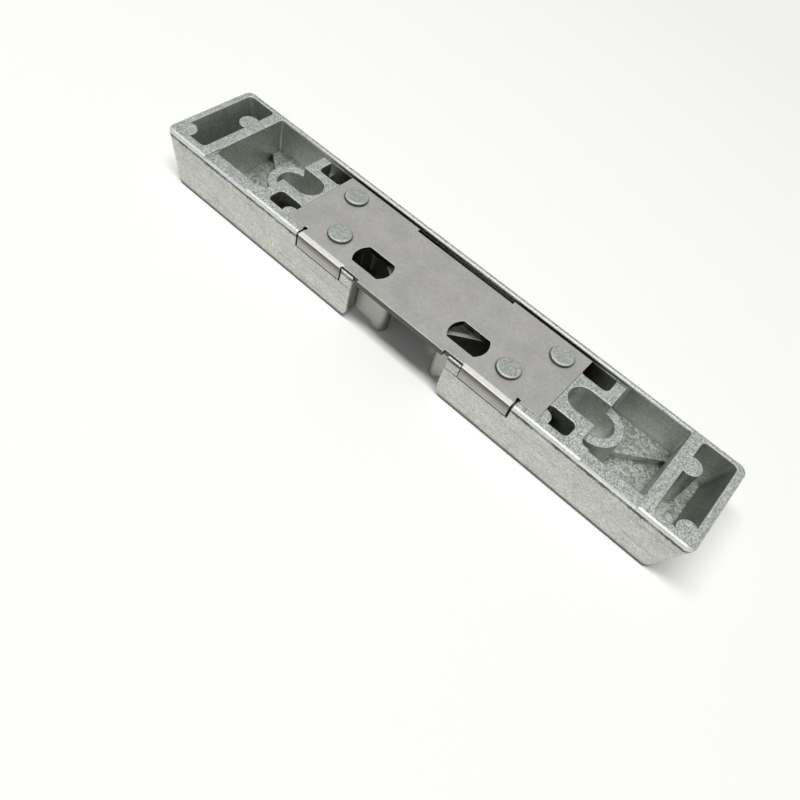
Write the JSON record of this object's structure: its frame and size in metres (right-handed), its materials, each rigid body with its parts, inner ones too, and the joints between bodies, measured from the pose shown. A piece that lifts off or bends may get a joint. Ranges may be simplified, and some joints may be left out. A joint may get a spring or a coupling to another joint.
{
  "type": "balcony door catch",
  "caption": "Frame-side catch for a balcony door: a die-cast housing with a steel back plate and two spring-loaded strip jaws that snap over a pin on the sash.",
  "frame": {"origin": "bottom centre of the bounding box: the middle of the face that lies on the table, under the middle of the housing", "axes": "+X along the housing towards the end that is lower right in the picture, +Y from the mouth side to the closed side, +Z out of the face towards the open back with its plate"},
  "size_m": [0.1002, 0.018, 0.0098],
  "materials": {
    "cast_zinc": "as-cast zinc, light grain",
    "plate_steel": "galvanised sheet, satin",
    "strip_steel": "bent strip, satin",
    "spring_wire": "spring wire"
  },
  "bodies": {
    "housing": {"casing": "cast_zinc", "back_plate": "plate_steel", "jaw_spring_left": "spring_wire", "jaw_spring_right": "spring_wire"},
    "left_jaw": {"jaw_left": "strip_steel"},
    "right_jaw": {"jaw_right": "strip_steel"}
  },
  "joints": [
    {"name": "jaw_left_slide", "type": "slide", "parent": "housing", "child": "left_jaw", "axis": [-1, 0, 0], "range_m": [0, 0.0035], "stiffness_N_per_m": 900, "deforming": ["jaw_spring_left"]},
    {"name": "jaw_right_slide", "type": "slide", "parent": "housing", "child": "right_jaw", "axis": [1, 0, 0], "range_m": [-0.00236, 0.00115], "stiffness_N_per_m": 900, "deforming": ["jaw_spring_right"]}
  ]
}
